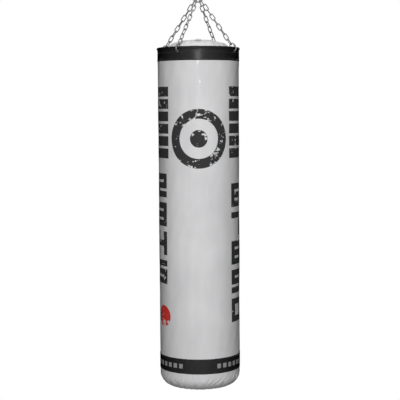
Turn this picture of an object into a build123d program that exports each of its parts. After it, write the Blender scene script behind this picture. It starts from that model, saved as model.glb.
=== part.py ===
from build123d import *
import math
import os

os.makedirs("parts", exist_ok=True)

# Clearances
TOUCH = 0.1  # between wires that hang on each other
RUN = 0.06  # radial, a pin or shaft that turns in its hole
SEAT = 0.15  # between layers that are sewn or seated together
LOOSE = 0.3  # between pieces that only lie side by side
ROLL = 0.12  # around each bearing ball

# Hanger swivel; the origin is the centre of the hanger eye
EYE_HOLE_R = 8.0
EYE_OUTER_R = 17.0
EYE_THICK = 12.0
CUP_R = 20.0
CUP_WALL = 4.0
CAP_TOP_Z = -18.0
CAP_THICK = 10.0
SPIGOT_DEEP = 6.0
SPIGOT_WALL = 2.8
LID_CHAMFER = 1.5
EYE_NECK = 28.0
CUP_DEEP = 32.0
CUP_FLOOR = 8.0
CUP_CORNER_R = 3.0
STEM_R = 7.0
NECK_R = 9.0
RACE_THICK = 3.2
BALL_R = 2.5
BALL_COUNT = 10
BALL_CIRCLE_R = 11.6
CAGE_MARGIN = 0.9
GROOVE_DEEP = 0.8
CAGE_THICK = 1.4
NUT_FLAT = 19.0
NUT_HIGH = 5.5

# Shackle and gather ring
STEM_DROP = 22.0  # cup floor to shackle pin
LUG_R = 13.0
LUG_THICK = 12.0
PIN_R = 5.0
PIN_HEAD_R = 8.0
PIN_HEAD_THICK = 4.0
PIN_PAST = 2.0  # beyond the far ear
TAB_LONG = 11.0
TAB_THICK = 3.5
TAB_HOLE_R = 2.0
EAR_R = 9.0
EAR_THICK = 9.0
BOW_R = 14.0
BOW_WIRE = 8.0
BOW_DROP = 29.2
RING_R = 23.0
RING_WIRE = 8.0

# Chains: front left, front right, back right, back left, as seen from the front
AZIMUTHS = {"a": -30.0, "b": 60.0, "c": 150.0, "d": 240.0}
INNER_SEAT_DEG = 20.0  # where the chains sit on the ring, from its lowest point
SEAT_GAP = 1.0  # between the two chains that hang side by side
LINK_COUNT = 9
LINK_LONG = 28.3  # inside length
LINK_WIDE = 10.5  # inside width
LINK_WIRE = 4.5

# Rim links and eyelets
RIM_LINK_WIRE = 5.0
RIM_LINK_BOW_R = 11.0
RIM_LINK_STRAIGHT = 12.5
RIM_LINK_TILT = 52.0  # up and inwards, from the horizontal
SLEEVE_R = 4.1
SLEEVE_LONG = 9.5
SPLIT = 0.6  # where the rim link's strand is cut, under the sleeve
EYELET_HOLE_R = 5.3
EYELET_WALL = 0.6
EYELET_FLANGE_R = 7.1
EYELET_THICK = 0.8

# Bag
BAG_HIGH = 1500.0
SHELL_R = 178.5
SHELL_THICK = 2.0
CORNER_R = 58.0
TURN_IN = 12.5  # flat part of the wall under the bag
PANEL_MARGIN = 1.5
PANEL_THICK = 3.0
FOAM_THICK = 15.0
HOOP_WIRE = 8.0
BAND_HIGH = 60.0
BAND_THICK = 1.5
BAND_INSIDE = 27.0
STRIPE_HIGH = 66.0
STRIPE_UP = 79.5
STRIPE_THICK = 1.0

# Domed top cover and its zip
COVER_HIGH = 36.0
CROWN_R = 555.0
GUTTER_WIDE = 28.5  # open channel between dome and hem
SHOULDER_WIDE = 33.0
COVER_THICK = 2.0
BRIM_DROP = 29.0
ZIP_MARGIN = 5.0  # from the crown's edge to the tape
ZIP_WIDE = 26.0
TAPE_THICK = 0.8
TEETH_WIDE = 5.0
TEETH_HIGH = 2.0
SLIDER_WIDE = 12.0
SLIDER_LONG = 16.0
SLIDER_THICK = 1.5
SLIDER_MARGIN = 10.0  # from the end of the tape to the slider
ARCH_LONG = 9.0
ARCH_WIDE = 2.0
ARCH_HIGH = 4.0
ARCH_WALL = 1.5
ARCH_SINK = 0.2  # set into the slider's plate
PULL_LONG = 26.0
PULL_WIDE = 8.0
PULL_THICK = 1.2
PULL_WIRE = 1.6
PULL_ARM = 1.5
PULL_WINDOW = 8.3
PULL_HOLE_R = 1.6
PULL_CORNER_R = 2.5

# Levels that follow from the sizes above
CUP_TOP_Z = CAP_TOP_Z - CAP_THICK
CUP_BOTTOM_Z = CUP_TOP_Z - CUP_DEEP
FLOOR_Z = CUP_BOTTOM_Z + CUP_FLOOR
LOWER_RACE_Z = FLOOR_Z + SEAT + RACE_THICK
BALL_Z = LOWER_RACE_Z - GROOVE_DEEP + BALL_R
UPPER_RACE_Z = BALL_Z + BALL_R - GROOVE_DEEP
NUT_Z = UPPER_RACE_Z + RACE_THICK + SEAT
STEM_TOP_Z = NUT_Z + NUT_HIGH
PIN_Z = CUP_BOTTOM_Z - STEM_DROP
RING_TOP_Z = PIN_Z - BOW_DROP + (BOW_WIRE + RING_WIRE) / 2 + TOUCH
RING_Z = RING_TOP_Z - RING_R
SEAT_CIRCLE_R = RING_R - (RING_WIRE + LINK_WIRE) / 2
OUTER_SEAT_DEG = INNER_SEAT_DEG + math.degrees((LINK_WIRE + SEAT_GAP) / SEAT_CIRCLE_R)
HOOP_R = SHELL_R - SHELL_THICK / 2
WALL_IN_R = SHELL_R - SHELL_THICK
CORNER_X = SHELL_R - CORNER_R
COVER_R = WALL_IN_R - GUTTER_WIDE
CROWN_EDGE_R = COVER_R - SHOULDER_WIDE
ZIP_HALF = CROWN_EDGE_R - ZIP_MARGIN
SLIDER_AT = ZIP_HALF - SLIDER_MARGIN
BEND_R = HOOP_WIRE / 2 + SEAT + BAND_THICK / 2
HOOP_DROP = BEND_R + BAND_THICK / 2
LEG_OFF = SHELL_THICK / 2 + SEAT + BAND_THICK / 2  # either leg of the hem from the hoop
EYELET_OFF = LEG_OFF + BAND_THICK / 2 + SEAT + EYELET_FLANGE_R**2 / (2 * HOOP_R)
RIM_LINK_REACH = RIM_LINK_STRAIGHT + RIM_LINK_BOW_R
HOLD_R = HOOP_R - RIM_LINK_REACH * math.cos(math.radians(RIM_LINK_TILT))
HOLD_UP = RIM_LINK_REACH * math.sin(math.radians(RIM_LINK_TILT)) - HOOP_DROP


def around(azimuth, radius, z):
    """Point at an azimuth counted from the front towards the right."""
    angle = math.radians(azimuth)
    return Vector(radius * math.sin(angle), -radius * math.cos(angle), z)


def ring_seat(azimuth):
    """Centre of the ring's wire where the chain at this azimuth hangs."""
    side = around(azimuth, 1, 0)
    angle = math.radians(INNER_SEAT_DEG if abs(side.X) < abs(side.Y) else OUTER_SEAT_DEG)
    x = math.copysign(RING_R * math.sin(angle), side.X)
    return Vector(x, 0, RING_Z - RING_R * math.cos(angle))


def rim_level():
    """Rim height at which the tightest chain just spans from the ring to its rim link."""
    wires = (RING_WIRE + RIM_LINK_WIRE) / 2
    span = LINK_COUNT * LINK_LONG - wires - (LINK_COUNT + 1) * TOUCH
    levels = []
    for azimuth in AZIMUTHS.values():
        start = ring_seat(azimuth)
        flat = around(azimuth, HOLD_R, start.Z) - start
        levels.append(start.Z - math.sqrt(span**2 - flat.length**2) - HOLD_UP)
    return max(levels)


RIM_Z = rim_level()
BOTTOM_Z = RIM_Z - BAG_HIGH
HOOP_Z = RIM_Z - HOOP_DROP
WIRE_CLEAR_R = RIM_LINK_BOW_R - RIM_LINK_WIRE / 2
EYELET_TOP = math.sqrt(WIRE_CLEAR_R**2 - (EYELET_OFF + EYELET_THICK) ** 2) - LOOSE
EYELET_Z = HOOP_Z - EYELET_TOP - EYELET_HOLE_R
STRIPE_Z = BOTTOM_Z + STRIPE_UP
PANEL_Z = BOTTOM_Z + SHELL_THICK + SEAT
CROWN_Z = RIM_Z + COVER_HIGH - CROWN_R
BRIM_Z = RIM_Z - BRIM_DROP
UNDER_COVER_Z = BRIM_Z - COVER_THICK - LOOSE
PLATE_UP = SEAT + TEETH_HIGH + LOOSE + SLIDER_THICK  # slider's plate above the crown
PULL_UP = PLATE_UP + LOOSE + PULL_WIRE / 2


def save(node, shape):
    export_step(shape, f"parts/{node}.step")


def tube(outer_r, inner_r, low, high):
    """Upright tube between two levels."""
    body = Cylinder(outer_r, high - low) - Cylinder(inner_r, high - low)
    return Pos(0, 0, (low + high) / 2) * body


def post(radius, low, high):
    return Pos(0, 0, (low + high) / 2) * Cylinder(radius, high - low)


def cross_bar(radius, low, high, z):
    """Round bar along Y between two Y positions."""
    return Pos(0, (low + high) / 2, z) * Rot(90, 0, 0) * Cylinder(radius, high - low)


def oval(straight, bow_r, wire):
    """Closed oval of round wire in the XY plane, long axis along X."""
    section = Plane.YZ * Pos(bow_r, 0) * Circle(wire / 2)
    bow = Pos(straight / 2, 0, 0) * revolve(section, Axis.Z, -180)
    side = Pos(0, bow_r, 0) * Rot(0, 90, 0) * Cylinder(wire / 2, straight)
    half = bow + side
    return half + Rot(0, 0, 180) * half


def turned(outline):
    """Solid of revolution about Z from a closed outline of (radius, z) points or edges."""
    return revolve(Plane.XZ * make_face(outline), Axis.Z)


# Hanger swivel


def hanger_cap():
    """Eye plate, lid and threaded spigot in one forging."""
    eye = cross_bar(EYE_OUTER_R, -EYE_THICK / 2, EYE_THICK / 2, 0)
    neck = Pos(0, 0, CAP_TOP_Z / 2) * Box(EYE_NECK, EYE_THICK, -CAP_TOP_Z)
    lid = post(CUP_R, CUP_TOP_Z, CAP_TOP_Z)
    lid = chamfer(lid.edges().group_by(Axis.Z)[-1], LID_CHAMFER)
    spigot_r = CUP_R - CUP_WALL - SEAT
    spigot = tube(spigot_r, spigot_r - SPIGOT_WALL, CUP_TOP_Z - SPIGOT_DEEP, CUP_TOP_Z)
    hole = cross_bar(EYE_HOLE_R, -EYE_THICK, EYE_THICK, 0)
    return eye + neck + lid + spigot - hole


def swivel_cup():
    cup = post(CUP_R, CUP_BOTTOM_Z, CUP_TOP_Z - SEAT)
    cup = fillet(cup.edges().group_by(Axis.Z)[0], CUP_CORNER_R)
    cup -= post(CUP_R - CUP_WALL, FLOOR_Z, CUP_TOP_Z)
    return cup - post(STEM_R + RUN, 2 * CUP_BOTTOM_Z, FLOOR_Z)


def ball_groove():
    return Pos(0, 0, BALL_Z) * Torus(BALL_CIRCLE_R, BALL_R + ROLL)


def lower_race():
    outer_r = CUP_R - CUP_WALL - SEAT
    washer = tube(outer_r, STEM_R + LOOSE, LOWER_RACE_Z - RACE_THICK, LOWER_RACE_Z)
    return washer - ball_groove()


def upper_race():
    outer_r = CUP_R - CUP_WALL - LOOSE
    washer = tube(outer_r, STEM_R + RUN, UPPER_RACE_Z, UPPER_RACE_Z + RACE_THICK)
    return washer - ball_groove()


def ball_cage():
    """Flat cage ring with its balls, each ball a solid of its own."""
    half = CAGE_THICK / 2
    arm = BALL_R + CAGE_MARGIN
    cage = tube(BALL_CIRCLE_R + arm, BALL_CIRCLE_R - arm, BALL_Z - half, BALL_Z + half)
    balls = []
    for spot in PolarLocations(BALL_CIRCLE_R, BALL_COUNT):
        place = Pos(0, 0, BALL_Z) * spot
        cage -= place * Sphere(BALL_R + ROLL)
        balls.append(place * Sphere(BALL_R))
    return Compound(children=cage.solids() + [s for b in balls for s in b.solids()])


def lock_nut():
    face = RegularPolygon(NUT_FLAT / 2, 6, major_radius=False)
    nut = Pos(0, 0, NUT_Z) * extrude(face, NUT_HIGH)
    return nut - post(STEM_R + RUN, NUT_Z - NUT_HIGH, NUT_Z + 2 * NUT_HIGH)


def swivel_stem():
    """Shaft with a drilled lug below for the shackle pin."""
    shaft = post(STEM_R, CUP_BOTTOM_Z - LOOSE, STEM_TOP_Z)
    neck = post(NECK_R, PIN_Z, CUP_BOTTOM_Z - LOOSE)
    lug = cross_bar(LUG_R, -LUG_THICK / 2, LUG_THICK / 2, PIN_Z)
    return shaft + neck + lug - cross_bar(PIN_R + RUN, -LUG_THICK, LUG_THICK, PIN_Z)


# Shackle and gather ring


def shackle_bow():
    leg = BOW_DROP - BOW_R
    section = Pos(0, BOW_R) * Circle(BOW_WIRE / 2)
    bow = Pos(0, 0, PIN_Z - leg) * revolve(section, Axis.X, -180)
    for side in (-BOW_R, BOW_R):
        ear = cross_bar(EAR_R, side - EAR_THICK / 2, side + EAR_THICK / 2, PIN_Z)
        bow += Pos(0, side, 0) * post(BOW_WIRE / 2, PIN_Z - leg, PIN_Z) + ear
    reach = BOW_R + EAR_THICK
    return bow - cross_bar(PIN_R + RUN, -reach, reach, PIN_Z)


def shackle_pin():
    """Screw pin with a collar and a flat drilled tab for wiring it shut."""
    ear_face = BOW_R + EAR_THICK / 2
    head_in = -ear_face - SEAT
    head_out = head_in - PIN_HEAD_THICK
    pin = cross_bar(PIN_R, head_in, ear_face + PIN_PAST, PIN_Z)
    pin += cross_bar(PIN_HEAD_R, head_out, head_in, PIN_Z)
    tab = Pos(0, head_out - TAB_LONG / 2, PIN_Z) * Box(TAB_THICK, TAB_LONG, 2 * PIN_R)
    hole = Pos(0, head_out - TAB_LONG / 2, PIN_Z) * Rot(0, 90, 0) * Cylinder(TAB_HOLE_R, 2 * TAB_THICK)
    return pin + tab - hole


def gather_ring():
    return Pos(0, 0, RING_Z) * Rot(90, 0, 0) * Torus(RING_R, RING_WIRE / 2)


# Chains


def chain_line(azimuth):
    """Start on the ring, direction and length of one chain's centre line."""
    start = ring_seat(azimuth)
    run = around(azimuth, HOLD_R, RIM_Z + HOLD_UP) - start
    return start, run.normalized(), run.length


def link_normals(azimuth):
    """Normals of the links, square to the ring's wire above and to the rim link below."""
    start, along, _ = chain_line(azimuth)
    tangent = Vector(RING_Z - start.Z, 0, start.X)
    first = (tangent - along * tangent.dot(along)).normalized()
    last = along.cross(around(azimuth + 90, 1, 0)).normalized()
    twist = math.degrees(math.atan2(first.cross(last).dot(along), first.dot(last)))
    twist = (twist + 90) % 180 - 90
    step = 90 + twist / (LINK_COUNT - 1)
    line = Axis((0, 0, 0), along)
    return [first.rotate(line, step * i) for i in range(LINK_COUNT)]


def chain_links(azimuth):
    start, along, length = chain_line(azimuth)
    wires = (RING_WIRE + RIM_LINK_WIRE) / 2
    gap = (LINK_COUNT * LINK_LONG - wires - length) / (LINK_COUNT + 1)
    link = oval(LINK_LONG - LINK_WIDE, (LINK_WIDE + LINK_WIRE) / 2, LINK_WIRE)
    first = LINK_LONG / 2 - RING_WIRE / 2 - gap
    links = []
    for i, normal in enumerate(link_normals(azimuth)):
        centre = start + along * (first + i * (LINK_LONG - gap))
        links.append(Plane(centre, x_dir=along, z_dir=normal).location * link)
    return links


# Rim hardware


def rim_plane(azimuth):
    """Plane of a rim link: X runs from the hoop up along the link, Z runs around the rim."""
    tilt = math.radians(RIM_LINK_TILT)
    up = around(azimuth, -math.cos(tilt), 0) + Vector(0, 0, math.sin(tilt))
    return Plane(around(azimuth, HOOP_R, HOOP_Z), x_dir=up, z_dir=around(azimuth + 90, 1, 0))


def each_rim(shape):
    """The same piece at all four chains, from its place in the rim link's plane."""
    return [s for a in AZIMUTHS.values() for s in (rim_plane(a).location * shape).solids()]


def rim_links():
    """Oval screw links: each strand on the inner side is cut and joined by a sleeve."""
    link = Pos(RIM_LINK_STRAIGHT / 2, 0, 0) * oval(RIM_LINK_STRAIGHT, RIM_LINK_BOW_R, RIM_LINK_WIRE)
    gap = Pos(RIM_LINK_STRAIGHT / 2, RIM_LINK_BOW_R, 0) * Box(SPLIT, 2 * RIM_LINK_WIRE, 2 * RIM_LINK_WIRE)
    return Compound(children=each_rim(link - gap))


def rim_link_sleeves():
    sleeve = extrude(RegularPolygon(SLEEVE_R, 6), SLEEVE_LONG / 2, both=True)
    sleeve -= Cylinder(RIM_LINK_WIRE / 2 + RUN, 2 * SLEEVE_LONG)
    place = Pos(RIM_LINK_STRAIGHT / 2, RIM_LINK_BOW_R, 0) * Rot(0, 90, 0)
    return Compound(children=each_rim(place * sleeve))


def rim_hoop():
    return Pos(0, 0, HOOP_Z) * Torus(HOOP_R, HOOP_WIRE / 2)


def eyelet_spots(radius):
    """Places on the rim's eyelet line, Z pointing outwards."""
    return [Plane(around(a, radius, EYELET_Z), z_dir=around(a, 1, 0)).location for a in AZIMUTHS.values()]


def eyelet_cuts():
    drill = Cylinder(EYELET_HOLE_R + EYELET_WALL + SEAT, 4 * HOOP_WIRE)
    return [spot * drill for spot in eyelet_spots(HOOP_R)]


def eyelets():
    """Pressed eyelets: a barrel through the hem with a flange outside and a washer inside."""
    depth = 2 * (EYELET_OFF + EYELET_THICK)
    body = Cylinder(EYELET_HOLE_R + EYELET_WALL, depth)
    for side in (-1, 1):
        flange = Cylinder(EYELET_FLANGE_R, EYELET_THICK)
        body += Pos(0, 0, side * (EYELET_OFF + EYELET_THICK / 2)) * flange
    body -= Cylinder(EYELET_HOLE_R, 4 * depth)
    return Compound(children=[s for spot in eyelet_spots(HOOP_R) for s in (spot * body).solids()])


# Bag


def top_band():
    """Hem band folded over the hoop, with one leg outside the wall and one inside."""
    outside, inside = HOOP_R + LEG_OFF, HOOP_R - LEG_OFF
    pinch_z = HOOP_Z - math.sqrt(BEND_R**2 - LEG_OFF**2)
    outer_leg = Line((outside, RIM_Z - BAND_HIGH), (outside, pinch_z))
    over = ThreePointArc((outside, pinch_z), (HOOP_R, HOOP_Z + BEND_R), (inside, pinch_z))
    inner_leg = Line((inside, pinch_z), (inside, RIM_Z - BAND_INSIDE))
    band = revolve(Plane.XZ * trace(outer_leg + over + inner_leg, BAND_THICK), Axis.Z)
    for cut in eyelet_cuts():
        band -= cut
    return band


def corner_arc(radius, start_deg):
    """Arc of the bag's lower corner, from an angle above straight down out to the side."""
    corner_z = BOTTOM_Z + CORNER_R
    points = []
    for degrees in (start_deg, (start_deg + 90) / 2, 90):
        angle = math.radians(degrees)
        points.append((CORNER_X + radius * math.sin(angle), corner_z - radius * math.cos(angle)))
    return ThreePointArc(*points)


def shell_wall():
    """Side wall that turns in under the bag around a large corner."""
    top = HOOP_Z - BEND_R - LOOSE
    outer = corner_arc(CORNER_R, 0)
    inner = corner_arc(CORNER_R - SHELL_THICK, 0)
    end_r = CORNER_X - TURN_IN
    under = Polyline(outer @ 0, (end_r, BOTTOM_Z), (end_r, BOTTOM_Z + SHELL_THICK), inner @ 0)
    side = Polyline(outer @ 1, (SHELL_R, top), (WALL_IN_R, top), inner @ 1)
    wall = turned([outer, under, inner, side])
    for cut in eyelet_cuts():
        wall -= cut
    return wall


def lower_stripe():
    return tube(SHELL_R + SEAT + STRIPE_THICK, SHELL_R + SEAT, STRIPE_Z, STRIPE_Z + STRIPE_HIGH)


def bottom_panel():
    return post(CORNER_X - PANEL_MARGIN, PANEL_Z, PANEL_Z + PANEL_THICK)


def foam_liner():
    outer_r = WALL_IN_R - SEAT
    return tube(outer_r, outer_r - FOAM_THICK, BOTTOM_Z + CORNER_R + LOOSE, UNDER_COVER_Z)


def dome(drop, edge_z):
    """Dome outline from the axis to its upright edge, moved inwards by drop."""
    lean = math.asin(CROWN_EDGE_R / CROWN_R)
    shoulder_r = SHOULDER_WIDE / (1 - math.sin(lean))
    middle_x = COVER_R - shoulder_r
    middle_z = CROWN_Z + (CROWN_R - shoulder_r) * math.cos(lean)
    small = shoulder_r - drop
    half_turn = (math.radians(90) + lean) / 2

    def shoulder(angle):
        return middle_x + small * math.sin(angle), middle_z + small * math.cos(angle)

    def crown(angle):
        return (CROWN_R - drop) * math.sin(angle), CROWN_Z + (CROWN_R - drop) * math.cos(angle)

    edge = (COVER_R - drop, middle_z)
    return [
        ThreePointArc(crown(0), crown(lean / 2), shoulder(lean)),
        ThreePointArc(shoulder(lean), shoulder(half_turn), edge),
        Line(edge, (COVER_R - drop, edge_z)),
    ]


def top_cover():
    """Domed cover with a flat brim sewn to the wall below the eyelets."""
    brim_r = WALL_IN_R - SEAT
    low = BRIM_Z - COVER_THICK
    outer = dome(0, BRIM_Z)
    inner = dome(COVER_THICK, low)
    middle = Line(inner[0] @ 0, outer[0] @ 0)
    brim = Polyline(outer[-1] @ 1, (brim_r, BRIM_Z), (brim_r, low), inner[-1] @ 1)
    return turned([middle, brim] + outer + inner)


def filling_core():
    """Packed textile filling, from the bottom panel up into the dome."""
    low = PANEL_Z + PANEL_THICK + SEAT
    corner_r = CORNER_R - SHELL_THICK - LOOSE
    core_r = WALL_IN_R - FOAM_THICK - 2 * SEAT
    rise = math.degrees(math.acos((BOTTOM_Z + CORNER_R - low) / corner_r))
    corner = corner_arc(corner_r, rise)
    top = dome(COVER_THICK + LOOSE, UNDER_COVER_Z)
    step_z = BOTTOM_Z + CORNER_R
    side = Polyline(corner @ 1, (core_r, step_z), (core_r, UNDER_COVER_Z), top[-1] @ 1)
    middle = Polyline(corner @ 0, (0, low), top[0] @ 0)
    return turned([corner, side, middle] + top)


# Zip across the crown


def crown_bar(points, spread):
    """Bar that follows the crown front to back, from an outline of (x, height) points."""
    outline = [(x, CROWN_R + height) for x, height in points]
    face = Plane.XZ * make_face(Polyline(*outline, close=True))
    bar = Rot(spread / 2, 0, 0) * revolve(face, Axis.X, -spread)
    return Pos(0, 0, CROWN_Z) * bar


def crown_turn(distance):
    """Turn about the crown's centre that moves a piece this far towards the front."""
    angle = math.degrees(math.asin(distance / CROWN_R))
    return Pos(0, 0, CROWN_Z) * Rot(angle, 0, 0) * Pos(0, 0, -CROWN_Z)


def zip_tape():
    wide, teeth = ZIP_WIDE / 2, TEETH_WIDE / 2
    base = SEAT
    points = [
        (-wide, base),
        (wide, base),
        (wide, base + TAPE_THICK),
        (teeth, base + TAPE_THICK),
        (teeth, base + TEETH_HIGH),
        (-teeth, base + TEETH_HIGH),
        (-teeth, base + TAPE_THICK),
        (-wide, base + TAPE_THICK),
    ]
    return crown_bar(points, 2 * math.degrees(math.asin(ZIP_HALF / CROWN_R)))


def zip_slider():
    wide, teeth = SLIDER_WIDE / 2, TEETH_WIDE / 2 + LOOSE
    low, under = SEAT + TAPE_THICK + LOOSE, PLATE_UP - SLIDER_THICK
    points = [
        (-wide, low),
        (-teeth, low),
        (-teeth, under),
        (teeth, under),
        (teeth, low),
        (wide, low),
        (wide, PLATE_UP),
        (-wide, PLATE_UP),
    ]
    plate = crown_bar(points, math.degrees(SLIDER_LONG / CROWN_R))
    foot_z = CROWN_Z + CROWN_R + PLATE_UP
    arch = Pos(0, 0, foot_z - ARCH_SINK + ARCH_HIGH / 2) * Box(ARCH_WIDE, ARCH_LONG, ARCH_HIGH)
    room = ARCH_HIGH - ARCH_WALL
    arch -= Pos(0, 0, foot_z - ARCH_SINK + room / 2) * Box(2 * ARCH_WIDE, ARCH_LONG - 2 * ARCH_WALL, room)
    return crown_turn(SLIDER_AT) * (plate + arch)


def zip_pull():
    """Pull tab whose cross bar turns under the slider's arch."""
    place = Pos(0, 0, CROWN_Z + CROWN_R + PULL_UP)
    frame = Pos(0, PULL_LONG / 2, 0) * Box(PULL_WIDE, PULL_LONG, PULL_THICK)
    frame = fillet(frame.edges().filter_by(Axis.Z).group_by(Axis.Y)[-1], PULL_CORNER_R)
    frame -= Box(PULL_WIDE - 2 * PULL_ARM, 2 * PULL_WINDOW, 2 * PULL_THICK)
    frame -= Pos(0, PULL_LONG - PULL_WIDE / 2, 0) * Cylinder(PULL_HOLE_R, 2 * PULL_THICK)
    bar = Rot(0, 90, 0) * Cylinder(PULL_WIRE / 2, PULL_WIDE)
    return crown_turn(SLIDER_AT) * place * (frame + bar)


def build_all():
    save("hanger_cap", hanger_cap())
    save("swivel_cup", swivel_cup())
    save("lower_race", lower_race())
    save("upper_race", upper_race())
    save("ball_cage", ball_cage())
    save("lock_nut", lock_nut())
    save("swivel_stem", swivel_stem())
    save("shackle_bow", shackle_bow())
    save("shackle_pin", shackle_pin())
    save("gather_ring", gather_ring())
    for name, azimuth in AZIMUTHS.items():
        for number, link in enumerate(chain_links(azimuth), start=1):
            save(f"chain_{name}_link_{number}", link)
    save("rim_links", rim_links())
    save("rim_link_sleeves", rim_link_sleeves())
    save("rim_hoop", rim_hoop())
    save("eyelets", eyelets())
    save("top_band", top_band())
    save("shell_wall", shell_wall())
    save("lower_stripe", lower_stripe())
    save("bottom_panel", bottom_panel())
    save("foam_liner", foam_liner())
    save("filling_core", filling_core())
    save("top_cover", top_cover())
    save("zip_tape", zip_tape())
    save("zip_slider", zip_slider())
    save("zip_pull", zip_pull())


build_all()
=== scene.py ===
"""Looks for a hanging punch bag: a filled vinyl bag on four chains, under a ring, a shackle and a swivel."""

import math
import random

import bmesh
import bpy
import numpy as np
from mathutils import Matrix, Vector


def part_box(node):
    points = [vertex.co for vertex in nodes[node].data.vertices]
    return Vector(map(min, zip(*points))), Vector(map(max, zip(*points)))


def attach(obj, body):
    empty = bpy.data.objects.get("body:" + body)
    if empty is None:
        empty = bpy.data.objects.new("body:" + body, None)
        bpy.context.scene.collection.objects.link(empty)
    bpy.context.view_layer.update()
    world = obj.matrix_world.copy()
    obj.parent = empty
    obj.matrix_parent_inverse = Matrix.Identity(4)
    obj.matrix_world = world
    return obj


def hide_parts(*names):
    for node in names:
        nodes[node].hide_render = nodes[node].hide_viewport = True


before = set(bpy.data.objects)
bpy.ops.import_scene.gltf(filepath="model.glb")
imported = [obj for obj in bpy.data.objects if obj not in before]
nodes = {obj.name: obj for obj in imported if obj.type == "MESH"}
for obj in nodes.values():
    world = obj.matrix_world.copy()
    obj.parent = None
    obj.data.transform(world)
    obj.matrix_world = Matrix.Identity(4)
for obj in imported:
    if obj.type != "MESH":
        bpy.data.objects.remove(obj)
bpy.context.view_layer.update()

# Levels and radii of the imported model, in metres. Angles run from the front (-Y) towards the right (+X).
MM = 0.001
SEGMENTS = 480
AZIMUTHS = [math.radians(a) for a in (-30, 60, 150, 240)]
HOOP_WIRE_R = 4 * MM


def low_high_r(name):
    """Lowest and highest level of a node, and its reach from the axis."""
    low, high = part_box(name)
    return low.z, high.z, high.x


band_low_z, rim_z, _ = low_high_r("top_band")
bottom_z, shell_top_z, shell_r = low_high_r("shell_wall")
stripe_low_z, stripe_high_z, stripe_r = low_high_r("lower_stripe")
panel_low_z, panel_high_z, panel_r = low_high_r("bottom_panel")
brim_low_z, crown_z, brim_r = low_high_r("top_cover")
hoop_low_z, hoop_high_z, hoop_outer_r = low_high_r("rim_hoop")
hoop_z, hoop_r = (hoop_low_z + hoop_high_z) / 2, hoop_outer_r - HOOP_WIRE_R
eyelet_z = sum(low_high_r("eyelets")[:2]) / 2
zip_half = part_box("zip_tape")[1].y

# Sizes of the soft goods, as cut
SHELL_THICK = 2.0 * MM
CORNER_R = 58.0 * MM
TURN_IN = 12.5 * MM
BAND_THICK = 1.5 * MM
BAND_INSIDE = 27.0 * MM
STRIPE_THICK = 1.0 * MM
COVER_THICK = 2.0 * MM
COVER_R = 148.0 * MM
CROWN_EDGE_R = 115.0 * MM
CROWN_R = 555.0 * MM
TAPE_WIDE = 26.0 * MM
TAPE_THICK = 0.8 * MM
HOLE_R = 6.05 * MM
GAP = 0.15 * MM
STITCH_PITCH, STITCH_LONG = 4.6 * MM, 3.4 * MM
BLACK_THREAD_R, GREY_THREAD_R, ZIP_THREAD_R = 0.36 * MM, 0.38 * MM, 0.28 * MM


# Random but repeatable patterns

WAVE_COUNT = 14


def waves(seed, turns, rises):
    """Smooth pattern around the bag, about -1 to 1: whole waves per turn, and waves per metre of height."""
    rng = random.Random(seed)
    parts = [
        (rng.randint(*turns), rng.uniform(-rises, rises), rng.uniform(0, math.tau)) for _ in range(WAVE_COUNT)
    ]

    def pattern(angle, z):
        total = sum(np.cos(n * angle + math.tau * k * z + phase) for n, k, phase in parts)
        return total / math.sqrt(2 * WAVE_COUNT)

    return pattern


def ease(value, start, end):
    """0 before start, 1 after end, and smooth in between."""
    t = np.clip((value - start) / (end - start), 0, 1)
    return t * t * (3 - 2 * t)


broad = waves(3, (2, 7), 3.0)
narrow = waves(8, (9, 22), 9.0)
fold_warp = waves(21, (3, 11), 6.0)
fold_depth = waves(34, (7, 19), 8.0)
fold_rolls = waves(13, (10, 30), 30.0)
dome_broad = waves(55, (2, 9), 0.5)
dome_depth = waves(89, (3, 9), 0.5)
rim_wave = waves(144, (5, 24), 0.5)

# How far the soft goods stand off their true shape
LAP_HIGH, BROAD_DENT, NARROW_DENT = 1.1 * MM, 0.9 * MM, 0.42 * MM
SWELL_HIGH, SWELL_BELOW_BAND, SWELL_REACH = 1.0 * MM, 0.011, 0.016
CREASES, CREASE_DEEP = 16, 3.2 * MM
CROSS_CREASES, CROSS_DEEP = 11, 2.4 * MM
ROLL_DEEP, PLEAT_HIGH, UNDERSIDE_SHARE = 1.1 * MM, 0.3 * MM, 0.45


def lap(angle, z):
    """The wall's overlapped seam up the back: one cut edge, and a long soft slope on its other side."""
    past = np.mod(angle, math.tau) - math.pi
    edge = ease(past, -0.006, 0.004) * (1 - ease(past, 0.10, 0.17))
    return LAP_HIGH * edge * ease(z, bottom_z + 0.045, bottom_z + 0.075)


def lump(angle, z):
    """How far the filled wall, and what is sewn on it, stands off the true cylinder."""
    settle = 1 - ease(z, rim_z - 0.075, rim_z - 0.03)
    foot = ease(z, bottom_z + 0.02, bottom_z + 0.12)
    soft = BROAD_DENT * broad(angle, z) + NARROW_DENT * narrow(angle, z)
    swell = SWELL_HIGH * np.exp(-(((z - band_low_z + SWELL_BELOW_BAND) / SWELL_REACH) ** 2))
    return settle * (foot * soft + lap(angle, z)) + swell


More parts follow.
